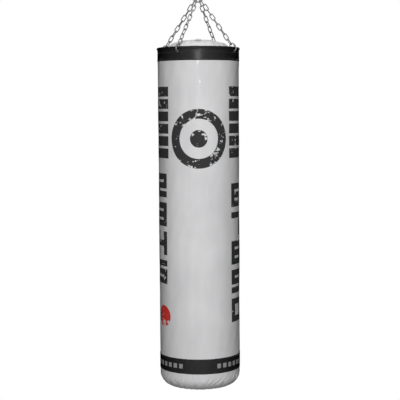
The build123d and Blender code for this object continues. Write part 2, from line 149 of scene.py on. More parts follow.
def folds(angle, z):
    """Gathers around the foot: creases that sink in between plump pleats, less so on the underside."""
    down = ease(-z, -(stripe_low_z + 0.002), -(bottom_z + 0.042))
    warped = angle + 0.085 * fold_warp(angle, 4 * z) - 3.4 * (z - bottom_z)
    crease = (1 - np.abs(np.sin(CREASES * warped))) ** 1.5
    slant = angle + 0.12 * fold_warp(2 * angle, 2 * z) - 5.6 * (z - bottom_z)
    cross = (1 - np.abs(np.sin(CROSS_CREASES * slant))) ** 2.0
    deep = np.clip(0.72 + 0.50 * fold_depth(angle, z), 0.2, 1.2)
    rolls = ROLL_DEEP * np.abs(fold_rolls(angle, z))
    sunk = rolls + deep * (CREASE_DEEP * crease + CROSS_DEEP * cross)
    share = UNDERSIDE_SHARE + (1 - UNDERSIDE_SHARE) * ease(z, bottom_z + 0.004, bottom_z + 0.030)
    return down * (PLEAT_HIGH - sunk * share)


# Mesh code


SHARP_DEG = 38


def dress(mesh, material):
    """Gives a mesh this one material."""
    mesh.materials.clear()
    mesh.materials.append(material)


def keep(name, mesh, material):
    """Finishes a mesh as a piece that rides on the bag."""
    mesh.shade_smooth()
    mesh.set_sharp_from_angle(angle=math.radians(SHARP_DEG))
    piece = bpy.data.objects.new(name, mesh)
    bpy.context.scene.collection.objects.link(piece)
    dress(mesh, material)
    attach(piece, "bag")
    return piece


def mesh_of(name, points, faces):
    """Mesh with all its normals outwards."""
    mesh = bpy.data.meshes.new(name)
    mesh.from_pydata(np.asarray(points).tolist(), [], faces)
    work = bmesh.new()
    work.from_mesh(mesh)
    bmesh.ops.recalc_face_normals(work, faces=work.faces)
    work.to_mesh(mesh)
    work.free()
    return mesh


def run(start, end, step):
    """Points from start up to, but not including, end."""
    start, end = np.array(start, float), np.array(end, float)
    count = max(1, math.ceil(np.linalg.norm(end - start) / step))
    return [start + (end - start) * i / count for i in range(count)]


def arc(centre, radius, first_deg, last_deg, step):
    """Points on an arc, last one left out; 0 degrees is outwards and 90 is up."""
    count = max(2, math.ceil(abs(math.radians(last_deg - first_deg)) * radius / step))
    turns = [math.radians(first_deg + (last_deg - first_deg) * i / count) for i in range(count)]
    return [np.array([centre[0] + radius * math.cos(t), centre[1] + radius * math.sin(t)]) for t in turns]


def directions(path):
    """The way ahead and the way left at each point of a path."""
    ahead = np.gradient(path, axis=0)
    ahead /= np.linalg.norm(ahead, axis=1)[:, None]
    return ahead, np.stack([-ahead[:, 1], ahead[:, 0]], axis=1)


CAP_POINTS = 5


def ribbon(path, thick):
    """Closed outline around a path of (r, z) points, with rounded ends.

    Returns the outline, the way each of its points faces, and its side: 1 on the left of the path and
    -1 on the right."""
    path = np.array(path)
    ahead, left = directions(path)
    outline, facing, side = [], [], []

    def add(point, way, which):
        outline.append(point + way * thick / 2)
        facing.append(way)
        side.append(which)

    for point, way in zip(path, left):
        add(point, way, 1.0)
    for i in range(1, CAP_POINTS):
        turn = math.pi * i / CAP_POINTS
        add(path[-1], left[-1] * math.cos(turn) + ahead[-1] * math.sin(turn), math.cos(turn))
    for point, way in zip(path[::-1], left[::-1]):
        add(point, -way, -1.0)
    for i in range(1, CAP_POINTS):
        turn = math.pi * i / CAP_POINTS
        add(path[0], -left[0] * math.cos(turn) - ahead[0] * math.sin(turn), -math.cos(turn))
    return np.array(outline), np.array(facing), np.array(side)


def ribbon_from_axis(path, thick):
    """The same for a path that starts on the axis, without the rounded end there."""
    return tuple(part[: 1 - CAP_POINTS] for part in ribbon(path, thick))


def turned(name, section, shape=None, count=SEGMENTS, place=None, poles=False):
    """Turns a section of (r, z) around the axis. shape gives how far each point moves the way it faces."""
    outline, facing, side = section
    angle = np.arange(count)[:, None] * math.tau / count
    r, z = outline[None, :, 0] + 0 * angle, outline[None, :, 1] + 0 * angle
    if shape:
        off = shape(angle, r, z, side[None, :])
        r, z = r + off * facing[None, :, 0], z + off * facing[None, :, 1]
    points = np.stack([r * np.sin(angle), -r * np.cos(angle), z], axis=-1).reshape(-1, 3)
    high = len(outline)
    spans = high - 1 if poles else high
    faces = []
    for i in range(count):
        a, b = i * high, (i + 1) % count * high
        faces += [(a + j, b + j, b + (j + 1) % high, a + (j + 1) % high) for j in range(spans)]
    if poles:
        for j in (0, high - 1):
            faces.append([i * high + j for i in range(count)])
    if place is not None:
        turn = np.array(place.to_3x3())
        points = points @ turn.T + np.array(place.translation)
    return mesh_of(name, points, faces)


def joined(name, meshes):
    """One mesh out of several."""
    work = bmesh.new()
    for mesh in meshes:
        work.from_mesh(mesh)
        bpy.data.meshes.remove(mesh)
    mesh = bpy.data.meshes.new(name)
    work.to_mesh(mesh)
    work.free()
    return mesh


def radial_place(azimuth, radius, z):
    """Place on the wall whose Z axis points straight out of it."""
    out = Vector((math.sin(azimuth), -math.cos(azimuth), 0))
    across = Vector((0, 0, 1)).cross(out)
    turn = Matrix((across, Vector((0, 0, 1)), out)).transposed().to_4x4()
    return Matrix.Translation(out * radius + Vector((0, 0, z))) @ turn


def still(points):
    """Section of (r, z) points that no shape moves."""
    outline = np.array(points)
    return outline, np.zeros_like(outline), np.ones(len(outline))


PIN_HALF = 0.02


def pin(azimuth):
    """Cylinder as wide as an eyelet hole, through the wall."""
    section = still([(HOLE_R, -PIN_HALF), (HOLE_R, PIN_HALF)])
    return turned("pin", section, count=40, place=radial_place(azimuth, hoop_r, eyelet_z), poles=True)


def drilled(mesh):
    """Cuts the four eyelet holes through a mesh."""
    pins = [pin(azimuth) for azimuth in AZIMUTHS]
    cutter = bpy.data.objects.new("cutter", joined("cutter", pins))
    body = bpy.data.objects.new("cut", mesh)
    for made in (cutter, body):
        bpy.context.scene.collection.objects.link(made)
    cut = body.modifiers.new("holes", "BOOLEAN")
    cut.operation, cut.solver, cut.object = "DIFFERENCE", "EXACT", cutter
    bpy.context.view_layer.update()
    result = bpy.data.meshes.new_from_object(body.evaluated_get(bpy.context.evaluated_depsgraph_get()))
    for made in (cutter, body):
        bpy.data.objects.remove(made)
    return result


def stitches(places, length, radius):
    """One mesh of short thread runs, partly sunk. Each place is (point, way along, way out of the cloth)."""
    rings, sides, sink = 7, 8, 0.35
    shape_t = np.linspace(-1, 1, rings)
    shape_r = np.sqrt(np.maximum(1 - shape_t**4, 0.0)) * 0.98 + 0.02
    points, faces = [], []
    for point, along, out in places:
        point, along, out = (np.array(v, float) for v in (point, along, out))
        along /= np.linalg.norm(along)
        across = np.cross(along, out)
        across /= np.linalg.norm(across)
        out = np.cross(across, along)
        base = len(points)
        for t, wide in zip(shape_t, shape_r):
            arch = (1 - t * t) * radius * 0.6 - sink * radius
            for k in range(sides):
                turn = math.tau * k / sides
                offset = wide * radius * (math.cos(turn) * across + math.sin(turn) * out)
                points.append(point + along * t * length / 2 + out * arch + offset)
        for i in range(rings - 1):
            for k in range(sides):
                a, b = base + i * sides + k, base + i * sides + (k + 1) % sides
                faces.append((a, b, b + sides, a + sides))
        faces.append([base + k for k in range(sides)])
        faces.append([base + (rings - 1) * sides + k for k in range(sides)])
    return mesh_of("stitches", points, faces)


def wall_point(angle, z, radius):
    """Point on the filled wall, or on what is sewn on it."""
    r = radius + float(lump(angle, z))
    return Vector((r * math.sin(angle), -r * math.cos(angle), z))


def ring_row(z, radius, miss=None):
    """Places of a stitch row around the wall. miss says where there is none."""
    count = round(math.tau * radius / STITCH_PITCH)
    places = []
    for i in range(count):
        angle = math.tau * (i + 0.5) / count
        if miss and miss(angle):
            continue
        out = Vector((math.sin(angle), -math.cos(angle), 0))
        places.append((wall_point(angle, z, radius), (math.cos(angle), math.sin(angle), 0), out))
    return places


def upright_row(angle, low_z, high_z, radius):
    """Places of a stitch row up the wall."""
    out = Vector((math.sin(angle), -math.cos(angle), 0))
    count = int((high_z - low_z) / STITCH_PITCH)
    heights = [low_z + (i + 0.5) * STITCH_PITCH for i in range(count)]
    return [(wall_point(angle, z, radius), (0, 0, 1), out) for z in heights]


# Materials


class Recipe:
    """A material and short calls for its nodes. Sizes are in metres in the model's own frame."""

    def __init__(self, name, colour, rough, metallic=0.0, specular=0.5):
        self.material = bpy.data.materials.new(name)
        self.material.use_nodes = True
        self.tree = self.material.node_tree
        self.shader = self.tree.nodes["Principled BSDF"]
        self.put("Base Color", (*colour, 1))
        self.put("Roughness", rough)
        self.put("Metallic", metallic)
        self.put("Specular IOR Level", specular)
        self.place = self.tree.nodes.new("ShaderNodeTexCoord").outputs["Object"]
        self.normal = None

    def put(self, socket, value):
        self.give(self.shader.inputs[socket], value)

    def give(self, socket, value):
        if isinstance(value, bpy.types.NodeSocket):
            self.tree.links.new(value, socket)
        else:
            socket.default_value = value

    def node(self, kind, inputs, **settings):
        made = self.tree.nodes.new(kind)
        for key, value in settings.items():
            setattr(made, key, value)
        for key, value in inputs.items():
            self.give(made.inputs[key], value)
        return made

    def math(self, operation, *values):
        made = self.node("ShaderNodeMath", dict(enumerate(values)), operation=operation)
        return made.outputs[0]

    def times(self, first, second):
        return self.math("MULTIPLY", first, second)

    def minus(self, first, second):
        return self.math("SUBTRACT", first, second)

    def scaled(self, size):
        """The place, stretched by a factor for each axis."""
        made = self.node("ShaderNodeVectorMath", {0: self.place, 1: size}, operation="MULTIPLY")
        return made.outputs[0]

    def noise(self, scale, detail=2.0, rough=0.5, place=None, distortion=0.0):
        inputs = {"Vector": place or self.place, "Scale": scale, "Detail": detail, "Roughness": rough}
        inputs["Distortion"] = distortion
        return self.node("ShaderNodeTexNoise", inputs).outputs[0]

    def cells(self, scale, feature="F1"):
        inputs = {"Vector": self.place, "Scale": scale}
        return self.node("ShaderNodeTexVoronoi", inputs, feature=feature).outputs["Distance"]

    def spread(self, value, low, high, to_low=0.0, to_high=1.0):
        """Maps low..high to to_low..to_high, and holds the ends."""
        inputs = {0: value, 1: low, 2: high, 3: to_low, 4: to_high}
        return self.node("ShaderNodeMapRange", inputs).outputs[0]

    def blend(self, share, first, second):
        made = self.tree.nodes.new("ShaderNodeMix")
        made.data_type = "RGBA"
        self.give(made.inputs[0], share)
        for socket, value in ((made.inputs[6], first), (made.inputs[7], second)):
            self.give(socket, value if isinstance(value, bpy.types.NodeSocket) else (*value, 1))
        return made.outputs[2]

    def bump(self, height, distance, strength=1.0):
        inputs = {"Height": height, "Distance": distance, "Strength": strength}
        if self.normal is not None:
            inputs["Normal"] = self.normal
        self.normal = self.node("ShaderNodeBump", inputs).outputs[0]
        self.put("Normal", self.normal)


def grain(recipe, deep):
    """Pebbled face of coated cloth: small pads with fine creases between them."""
    creases = recipe.cells(620.0, "DISTANCE_TO_EDGE")
    pads = recipe.spread(creases, 0.0, 0.12)
    fine = recipe.noise(2600.0, 2.0)
    recipe.bump(recipe.math("ADD", pads, recipe.times(fine, 0.35)), deep)


def facing_share(recipe, power):
    """Share of gloss left by angle: all of it face on and none at the outline. It only scales a coat."""
    turned_away = recipe.node("ShaderNodeLayerWeight", {"Blend": 0.5}).outputs["Facing"]
    return recipe.math("POWER", recipe.minus(1.0, turned_away), power)


def around(recipe):
    """Arc length from the middle of the front, or of the back, and height on the bag's wall."""
    split = recipe.node("ShaderNodeSeparateXYZ", {0: recipe.place})
    x, y, z = split.outputs
    angle = recipe.math("ARCTAN2", x, recipe.times(y, -1.0))
    half = recipe.math("WRAP", angle, math.pi / 2, -math.pi / 2)
    return recipe.times(half, shell_r), z


def edge_off(recipe, value, middle, half):
    """Signed distance outside a band of a value."""
    off = recipe.math("ABSOLUTE", recipe.minus(value, middle))
    return recipe.minus(off, half)


def rectangle(recipe, across, up, wide, high, middle):
    """Signed distance outside a rectangle."""
    sides = edge_off(recipe, across, middle[0], wide / 2), edge_off(recipe, up, middle[1], high / 2)
    return recipe.math("MAXIMUM", *sides)


def far_from(recipe, across, up, middle):
    """Distance from a point."""
    x, y = recipe.minus(across, middle[0]), recipe.minus(up, middle[1])
    squares = recipe.math("ADD", recipe.times(x, x), recipe.times(y, y))
    return recipe.math("SQRT", squares)


def inked(recipe, distance):
    """1 inside a shape and 0 outside, from its signed distance, with a slightly soft edge."""
    return recipe.spread(distance, -INK_SOFT / 2, INK_SOFT / 2, 1.0, 0.0)


# The print, in arc lengths and heights on the wall
INK_SOFT = 0.9 * MM
TARGET_Z, TARGET_R, TARGET_BAND, TARGET_DOT = -0.745, 0.128, 0.042, 0.038
BARS_LOW_Z, BARS_HIGH_Z, BAR_COUNT, BAR_SHARE = -0.836, -0.515, 6, 0.80
BARS_FROM = 0.148
DIGIT_PITCH, DIGIT_HIGH, DIGIT_WIDE, DIGIT_STROKE = 0.127, 0.104, 0.098, 0.027
DIGIT_MIDDLE = 0.211
LEFT_TOP_Z, LEFT_COUNT, RIGHT_TOP_Z, RIGHT_COUNT = -0.886, 4, -0.930, 5
DOT_PLACE, DOT_R = (-0.190, -1.526), 0.047
BLOCK_PITCH, BLOCK_WIDE, BLOCK_HIGH, BLOCKS_FROM, BLOCK_COUNT = 0.0295, 0.0185, 0.020, 0.072, 6
# Strokes of the plain digits 2 to 9 and 0. a: top, b: upper right, c: lower right, d: foot, e: lower left,
# f: upper left, g: middle
STROKES = ["abged", "abgcd", "fgbc", "afgcd", "afgecd", "abc", "abcdefg", "abcdfg", "abcdef"]


def target(recipe, across, up):
    """Ring with a dot in its middle."""
    distance = far_from(recipe, across, up, (0.0, TARGET_Z))
    ring = edge_off(recipe, distance, TARGET_R - TARGET_BAND / 2, TARGET_BAND / 2)
    return recipe.math("MINIMUM", ring, recipe.minus(distance, TARGET_DOT))


def bars(recipe, across, up):
    """Stack of plain level bars round each side of the bag."""
    pitch = (BARS_HIGH_Z - BARS_LOW_Z) / BAR_COUNT
    step = recipe.math("WRAP", recipe.minus(up, BARS_LOW_Z), pitch, 0.0)
    bar = edge_off(recipe, step, pitch / 2, pitch * BAR_SHARE / 2)
    stack = edge_off(recipe, up, (BARS_LOW_Z + BARS_HIGH_Z) / 2, (BARS_HIGH_Z - BARS_LOW_Z) / 2)
    inner = recipe.minus(BARS_FROM, recipe.math("ABSOLUTE", across))
    return recipe.math("MAXIMUM", recipe.math("MAXIMUM", bar, stack), inner)


def digits(recipe, across, up):
    """Two columns of plain block digits: 2 to 5 down the left of each face, 6 to 9 and 0 down the right."""
    right = recipe.math("GREATER_THAN", across, 0.0)
    sign = recipe.minus(recipe.times(right, 2.0), 1.0)
    x = recipe.minus(across, recipe.times(sign, DIGIT_MIDDLE))
    top = recipe.spread(right, 0.0, 1.0, LEFT_TOP_Z, RIGHT_TOP_Z)
    count = recipe.spread(right, 0.0, 1.0, float(LEFT_COUNT), float(RIGHT_COUNT))
    down = recipe.math("DIVIDE", recipe.minus(top, up), DIGIT_PITCH)
    row = recipe.math("FLOOR", down)
    y = recipe.times(recipe.minus(0.5, recipe.math("FRACT", down)), DIGIT_PITCH)
    digit = recipe.math("ADD", row, recipe.times(right, float(LEFT_COUNT)))
    key = recipe.math("DIVIDE", recipe.math("ADD", digit, 0.5), float(len(STROKES)))
    edge_x, edge_y = (DIGIT_WIDE - DIGIT_STROKE) / 2, (DIGIT_HIGH - DIGIT_STROKE) / 2
    level = (DIGIT_WIDE, DIGIT_STROKE)
    upright = (DIGIT_STROKE, (DIGIT_HIGH + DIGIT_STROKE) / 2)
    spots = {
        "a": (level, (0, edge_y)),
        "b": (upright, (edge_x, edge_y / 2)),
        "c": (upright, (edge_x, -edge_y / 2)),
        "d": (level, (0, -edge_y)),
        "e": (upright, (-edge_x, -edge_y / 2)),
        "f": (upright, (-edge_x, edge_y / 2)),
        "g": (level, (0, 0)),
    }
    nearest = 1.0
    for stroke, ((wide, high), middle) in spots.items():
        box = rectangle(recipe, x, y, wide, high, middle)
        absent = stroke_absent(recipe, key, stroke)
        nearest = recipe.math("MINIMUM", nearest, recipe.math("ADD", box, absent))
    below = recipe.minus(down, count)
    above = recipe.times(down, -1.0)
    return recipe.math("MAXIMUM", nearest, recipe.math("MAXIMUM", below, above))


def stroke_absent(recipe, key, stroke):
    """0 where the digit has this stroke and 1 where it doesn't, looked up from the digit's key."""
    made = recipe.node("ShaderNodeValToRGB", {0: key})
    ramp = made.color_ramp
    ramp.interpolation = "CONSTANT"
    shades = [0.0 if stroke in strokes else 1.0 for strokes in STROKES]
    ramp.elements[0].color = (*[shades[0]] * 3, 1)
    ramp.elements.remove(ramp.elements[1])
    for i, shade in enumerate(shades[1:], start=1):
        if shade != shades[i - 1]:
            ramp.elements.new(i / len(STROKES)).color = (*[shade] * 3, 1)
    return made.outputs[0]


def worn_ink(recipe, amount):
    """1 where the print has flaked off, in clusters of ragged chips; a higher amount leaves more print."""
    chips = recipe.noise(46.0, 5.0, 0.62)
    clusters = recipe.noise(9.0, 2.0, 0.5)
    value = recipe.math("ADD", chips, recipe.times(recipe.minus(clusters, 0.5), 0.55))
    over = recipe.minus(value, amount)
    return recipe.spread(over, 0.085, 0.105)


def shaded_foot(recipe, up, colour):
    """Adds painted shade to the foot: darker towards its lowest edge, and a little blotchy."""
    # Painted shade: the wall's colour darkens towards grey over its lowest 46 mm, most at the bottom.
    low = recipe.spread(up, bottom_z + 0.016, bottom_z + 0.046, 0.70, 0.0)
    foot_shade = recipe.times(low, recipe.spread(recipe.noise(38.0, 4.0), 0.35, 0.65, 0.8, 1.0))
    return recipe.blend(foot_shade, colour, (0.24, 0.24, 0.24))


def black_print(recipe, across, up, colour):
    """Adds the target, bars and digits, more worn away towards the middle."""
    shapes = recipe.math("MINIMUM", target(recipe, across, up), bars(recipe, across, up))
    shapes = recipe.math("MINIMUM", shapes, digits(recipe, across, up))
    outward = recipe.spread(recipe.math("ABSOLUTE", across), 0.11, 0.15)
    left = recipe.minus(1.0, worn_ink(recipe, recipe.math("MULTIPLY_ADD", outward, 0.10, 0.46)))
    return recipe.blend(recipe.times(inked(recipe, shapes), left), colour, (0.020, 0.020, 0.021))


def red_dot(recipe, across, up, colour):
    """Adds a worn red dot low on the left of each face."""
    dot = recipe.minus(far_from(recipe, across, up, DOT_PLACE), DOT_R)
    left = recipe.minus(1.0, worn_ink(recipe, 0.47))
    return recipe.blend(recipe.times(inked(recipe, dot), left), colour, (0.56, 0.022, 0.014))


def silver_vinyl(name, printed=False):
    """Grey coated cloth and, on the wall, painted shade on the foot and a plain worn print."""
    recipe = Recipe(name, (0.6, 0.6, 0.61), 0.6, specular=0.0)
    cloud = recipe.noise(7.0, 3.0, 0.5)
    streak = recipe.noise(1.0, 3.0, 0.55, place=recipe.scaled((24.0, 24.0, 5.0)))
    tone = recipe.math("ADD", recipe.times(cloud, 0.6), recipe.times(streak, 0.4))
    colour = recipe.blend(recipe.spread(tone, 0.3, 0.7), (0.55, 0.55, 0.56), (0.64, 0.64, 0.648))
    scuff = recipe.spread(recipe.noise(60.0, 6.0, 0.7, place=recipe.scaled((1.0, 1.0, 0.35))), 0.62, 0.75)
    colour = recipe.blend(recipe.times(scuff, 0.25), colour, (0.42, 0.42, 0.42))
    if printed:
        across, up = around(recipe)
        # Painted shade on the foot, darker towards the bottom.
        colour = shaded_foot(recipe, up, colour)
        colour = black_print(recipe, across, up, colour)
        colour = red_dot(recipe, across, up, colour)
    recipe.put("Base Color", colour)
    recipe.put("Roughness", recipe.spread(recipe.noise(30.0, 3.0), 0.3, 0.7, 0.5, 0.7))
    recipe.put("Coat Weight", recipe.times(facing_share(recipe, 2.0), 0.5))
    recipe.put("Coat Roughness", 0.12)
    grain(recipe, 0.06 * MM)
    return recipe.material


def black_vinyl(name, blocks=False):
    """Black coated cloth, a little dusty, rubbed paler at random, and on the stripe with pale blocks."""
    recipe = Recipe(name, (0.012, 0.012, 0.014), 0.4, specular=0.0)
    dust = recipe.spread(recipe.noise(34.0, 6.0, 0.62), 0.42, 0.72)
    colour = recipe.blend(dust, (0.006, 0.006, 0.0065), (0.011, 0.011, 0.0115))
    scratch = recipe.noise(1.0, 4.0, 0.6, place=recipe.scaled((26.0, 26.0, 420.0)))
    colour = recipe.blend(recipe.spread(scratch, 0.64, 0.74, 0.0, 0.35), colour, (0.07, 0.07, 0.07))
    if blocks:
        across, up = around(recipe)
        middle = (BLOCK_PITCH / 2, (stripe_low_z + stripe_high_z) / 2)
        far = recipe.math("ABSOLUTE", across)
        step = recipe.math("WRAP", recipe.minus(far, BLOCKS_FROM), BLOCK_PITCH, 0.0)
        block = rectangle(recipe, step, up, BLOCK_WIDE, BLOCK_HIGH, middle)
        half = BLOCK_COUNT * BLOCK_PITCH / 2
        limit = edge_off(recipe, far, BLOCKS_FROM + half, half)
        shape = inked(recipe, recipe.math("MAXIMUM", block, limit))
        faded = recipe.spread(recipe.noise(120.0, 4.0, 0.6), 0.35, 0.75, 1.0, 0.6)
        colour = recipe.blend(recipe.times(shape, faded), colour, (0.30, 0.30, 0.30))
    recipe.put("Base Color", colour)
    recipe.put("Roughness", recipe.spread(recipe.noise(80.0, 4.0), 0.3, 0.7, 0.40, 0.52))
    recipe.put("Coat Weight", recipe.times(facing_share(recipe, 5.0), 0.6))
    recipe.put("Coat Roughness", 0.32)
    grain(recipe, 0.05 * MM)
    return recipe.material


def cover_vinyl():
    """Pale coated cloth of the dome, softly crumpled and lightly soiled."""
    recipe = Recipe("cover_vinyl", (0.72, 0.72, 0.73), 0.42, specular=0.1)
    tone = recipe.noise(22.0, 4.0, 0.55)
    colour = recipe.blend(recipe.spread(tone, 0.3, 0.7), (0.68, 0.68, 0.69), (0.80, 0.80, 0.805))
    dirt = recipe.spread(recipe.noise(150.0, 5.0, 0.7), 0.62, 0.78)
    recipe.put("Base Color", recipe.blend(recipe.times(dirt, 0.35), colour, (0.45, 0.44, 0.43)))
    recipe.put("Roughness", recipe.spread(recipe.noise(60.0, 3.0), 0.3, 0.7, 0.34, 0.50))
    recipe.bump(recipe.noise(38.0, 4.0, 0.5, distortion=0.8), 0.8 * MM, 0.6)
    grain(recipe, 0.06 * MM)
    return recipe.material


def steel(name, colour, rough, mottled=0.25):
    """Bare or plated steel with small tonal patches, dull spots and a fine surface."""
    recipe = Recipe(name, colour, rough, metallic=1.0)
    patches = recipe.spread(recipe.noise(260.0, 4.0, 0.6), 0.3, 0.7)
    darker = tuple(c * (1 - mottled) for c in colour)
    spots = recipe.spread(recipe.noise(900.0, 3.0, 0.6), 0.62, 0.72)
    tinted = recipe.blend(patches, darker, colour)
    recipe.put("Base Color", recipe.blend(recipe.times(spots, 0.5), tinted, (0.16, 0.145, 0.13)))
    recipe.put("Roughness", recipe.spread(recipe.noise(420.0, 4.0), 0.3, 0.7, rough * 0.75, rough * 1.35))
    recipe.bump(recipe.noise(1400.0, 3.0, 0.6), 0.05 * MM, 0.7)
    return recipe.material


def thread(name, colour):
    """Twisted sewing thread, with painted shade in the grooves of its twist."""
    recipe = Recipe(name, colour, 0.7, specular=0.3)
    twist = recipe.node(
        "ShaderNodeTexWave",
        {"Vector": recipe.place, "Scale": 620.0, "Distortion": 1.5},
        bands_direction="DIAGONAL",
    ).outputs[1]
    # Painted shade: the twist's grooves are darkened in the colour, on the same pattern as the bump.
    darker = tuple(c * 0.6 for c in colour)
    recipe.put("Base Color", recipe.blend(twist, darker, colour))
    recipe.put("Sheen Weight", 0.3)
    recipe.bump(twist, 0.1 * MM)
    return recipe.material


def woven(name, colour, pitch, deep):
    """Plain weave of warp and weft threads, seen from above, with painted shade where they dip under each
    other.
    """
    recipe = Recipe(name, colour, 0.85, specular=0.2)
    turns = math.tau / pitch
    split = recipe.node("ShaderNodeSeparateXYZ", {0: recipe.place})
    warp = recipe.math("ABSOLUTE", recipe.math("SINE", recipe.times(split.outputs[0], turns / 2)))
    weft = recipe.math("ABSOLUTE", recipe.math("SINE", recipe.times(split.outputs[1], turns / 2)))
    over = recipe.times(warp, weft)
    # Painted shade: the colour darkens where the threads dip, on the same pattern as the bump.
    darker = tuple(c * 0.45 for c in colour)
    fuzz = recipe.noise(700.0, 3.0)
    shade = recipe.times(over, recipe.spread(fuzz, 0.2, 0.8, 0.7, 1.0))
    recipe.put("Base Color", recipe.blend(shade, darker, colour))
    recipe.put("Sheen Weight", 0.25)
    recipe.bump(over, deep)
    return recipe.material


def foam():
    """Dark open foam, with painted shade in its pores."""
    recipe = Recipe("foam", (0.24, 0.24, 0.25), 0.95, specular=0.15)
    pores = recipe.cells(420.0)
    # Painted shade: the colour darkens inside the pores, on the same cells as the bump.
    shade = recipe.spread(pores, 0.1, 0.6)
    recipe.put("Base Color", recipe.blend(shade, (0.12, 0.12, 0.13), (0.3, 0.3, 0.31)))
    recipe.bump(pores, 0.6 * MM)
    return recipe.material


def rags():
    """Shredded textile filling: scraps of many tones, with painted shade in patches."""
    recipe = Recipe("textile_filling", (0.4, 0.38, 0.36), 0.95, specular=0.1)
    scraps = recipe.node("ShaderNodeTexVoronoi", {"Vector": recipe.place, "Scale": 45.0}).outputs["Color"]
    toned = recipe.blend(0.72, scraps, (0.36, 0.35, 0.34))
    # Painted light and shade: a noise darkens the scraps towards near black in patches.
    lit = recipe.spread(recipe.noise(160.0, 4.0), 0.3, 0.7)
    recipe.put("Base Color", recipe.blend(lit, (0.1, 0.1, 0.1), toned))
    recipe.bump(recipe.noise(60.0, 5.0), 4 * MM)
    return recipe.material


silver = silver_vinyl("silver_vinyl_printed", printed=True)
silver_plain = silver_vinyl("silver_vinyl_plain")
black = black_vinyl("black_vinyl_band")
black_marked = black_vinyl("black_vinyl_stripe", blocks=True)
cover = cover_vinyl()
eyelet_steel = steel("eyelet_gunmetal", (0.12, 0.12, 0.125), 0.32)
dark_thread = thread("thread_black", (0.035, 0.035, 0.037))
grey_thread = thread("thread_grey", (0.42, 0.42, 0.43))
tape_cloth = woven("zip_weave", (0.50, 0.50, 0.51), 0.9 * MM, 0.15 * MM)
zip_steel = steel("zip_steel", (0.55, 0.55, 0.56), 0.30)
rag_filling = rags()

chain_links = [name for name in nodes if name.startswith("chain_")]
for made, names in (
    (steel("hanger_steel", (0.30, 0.30, 0.31), 0.34), ("hanger_cap", "swivel_cup")),
    (steel("bearing_steel", (0.55, 0.55, 0.56), 0.18), ("lower_race", "upper_race", "ball_cage")),
    (steel("nut_steel", (0.30, 0.30, 0.31), 0.38), ("lock_nut", "swivel_stem")),
    (steel("shackle_zinc", (0.36, 0.36, 0.37), 0.33), ("shackle_bow", "shackle_pin")),
    (steel("ring_zinc", (0.36, 0.36, 0.37), 0.30), ("gather_ring",)),
    (steel("hoop_wire", (0.30, 0.29, 0.28), 0.45), ("rim_hoop",)),
    (steel("rim_chrome", (0.30, 0.30, 0.31), 0.25), ("rim_links", "rim_link_sleeves")),
    (eyelet_steel, ("eyelets",)),
    (zip_steel, ("zip_slider", "zip_pull")),
    (foam(), ("foam_liner",)),
    (steel("chain_zinc", (0.29, 0.28, 0.29), 0.32, mottled=0.35), chain_links),
):
    for name in names:
        dress(nodes[name].data, made)


# The bag's wall, with its gathered foot


def wall_path():
    """Middle of the wall's cloth: from the edge turned in under the bag, up to the hem."""
    half = SHELL_THICK / 2
    middle_r, middle_z, end_z = shell_r - half, bottom_z + half, shell_top_z - half
    corner = (shell_r - CORNER_R, bottom_z + CORNER_R)
    end_r = corner[0] - TURN_IN
    path = run((end_r + half, middle_z), (corner[0], middle_z), 1.5 * MM)
    path += arc(corner, CORNER_R - half, -90, 0, 1.6 * MM)
    path += run((middle_r, corner[1]), (middle_r, stripe_low_z), 2.5 * MM)
    path += run((middle_r, stripe_low_z), (middle_r, end_z), 6 * MM)
    return path + [np.array([middle_r, end_z])]


def wall_shape(angle, r, z, side):
    """The face follows the filling; in the foot's pleats the back of the cloth goes with it."""
    face = np.clip(-side, 0, 1)
    return face * lump(angle, z) - side * folds(angle, z) * ease(r, 0.110, 0.135)


wall = drilled(turned("bag_wall", ribbon(wall_path(), SHELL_THICK), wall_shape))
bag_wall = keep("bag_wall", wall, material=silver)
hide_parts("shell_wall")


# Packed filling, a little slack in the foot's pleats

CORE_R, CORE_CORNER_R, SLACK = 161.2 * MM, 52.5 * MM, 0.6 * MM
AXIS_R = 0.4 * MM
SAG_DEEP = 8 * MM


def dome_arcs(drop):
    """Crown and shoulder of the domed top, moved inwards by drop, from the axis out.

    Also gives the height at which the shoulder ends."""
    lean = math.asin(CROWN_EDGE_R / CROWN_R)
    shoulder_r = (COVER_R - CROWN_EDGE_R) / (1 - math.sin(lean))
    middle = (COVER_R - shoulder_r, crown_z - CROWN_R + (CROWN_R - shoulder_r) * math.cos(lean))
    path = arc((0.0, crown_z - CROWN_R), CROWN_R - drop, 89.97, 90 - math.degrees(lean), 2.5 * MM)
    return path + arc(middle, shoulder_r - drop, 90 - math.degrees(lean), 0, 1.5 * MM), middle[1]


def sag(angle, r):
    """How far the dome has sunk on both sides of the zip, which holds up the middle."""
    aside = np.abs(r * np.sin(angle))
    return SAG_DEEP * ease(aside, 0.05, 0.14) * (1 - ease(r, 0.142, 0.149))


def filling_outline():
    """The filling's surface from the top of its dome to the middle of its underside."""
    low, corner_z = panel_high_z + SLACK, bottom_z + CORNER_R
    ledge_z = brim_low_z - SLACK
    path, edge_z = dome_arcs(COVER_THICK + 3 * SLACK)
    inner_r = COVER_R - COVER_THICK - 3 * SLACK
    path += run((inner_r, edge_z), (inner_r, ledge_z), 4 * MM)
    path += run((inner_r, ledge_z), (CORE_R, ledge_z), 4 * MM)
    path += run((CORE_R, ledge_z), (CORE_R, corner_z), 8 * MM)
    meet = math.degrees(math.asin((corner_z - low) / CORE_CORNER_R))
    path += arc((shell_r - CORNER_R, corner_z), CORE_CORNER_R, 0, -meet, 3 * MM)[3:]
    path += run(path[-1], (AXIS_R, low), 4 * MM)[1:]
    return np.array(path + [np.array([AXIS_R, low])])


